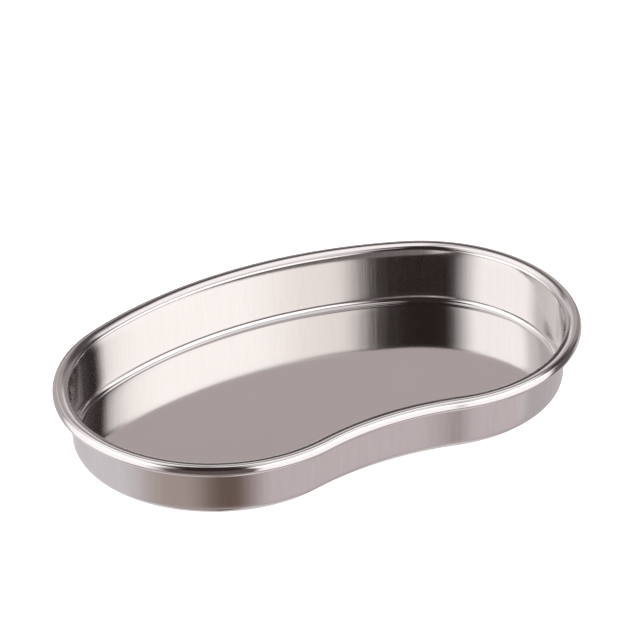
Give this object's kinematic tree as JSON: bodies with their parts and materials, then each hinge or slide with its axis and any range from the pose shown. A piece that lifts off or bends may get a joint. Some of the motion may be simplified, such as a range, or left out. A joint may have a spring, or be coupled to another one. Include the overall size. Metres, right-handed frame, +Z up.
{
  "type": "kidney dish",
  "caption": "Shallow kidney-shaped stainless steel dish with a flat floor, slightly flared walls and a rolled rim.",
  "frame": {"origin": "on the surface that the dish stands on, under the middle of its outer box", "axes": "+X along the dish's length, +Y towards its bulging back, away from the hollow front, +Z up"},
  "size_m": [0.25, 0.1564, 0.029],
  "materials": {
    "satin_steel": "satin stainless steel: fine upright grain on the wall, smooth semi-mirror floor",
    "polished_steel": "polished stainless steel"
  },
  "bodies": {
    "root": {"drawn_pan": "satin_steel", "rolled_rim": "polished_steel"}
  },
  "joints": []
}
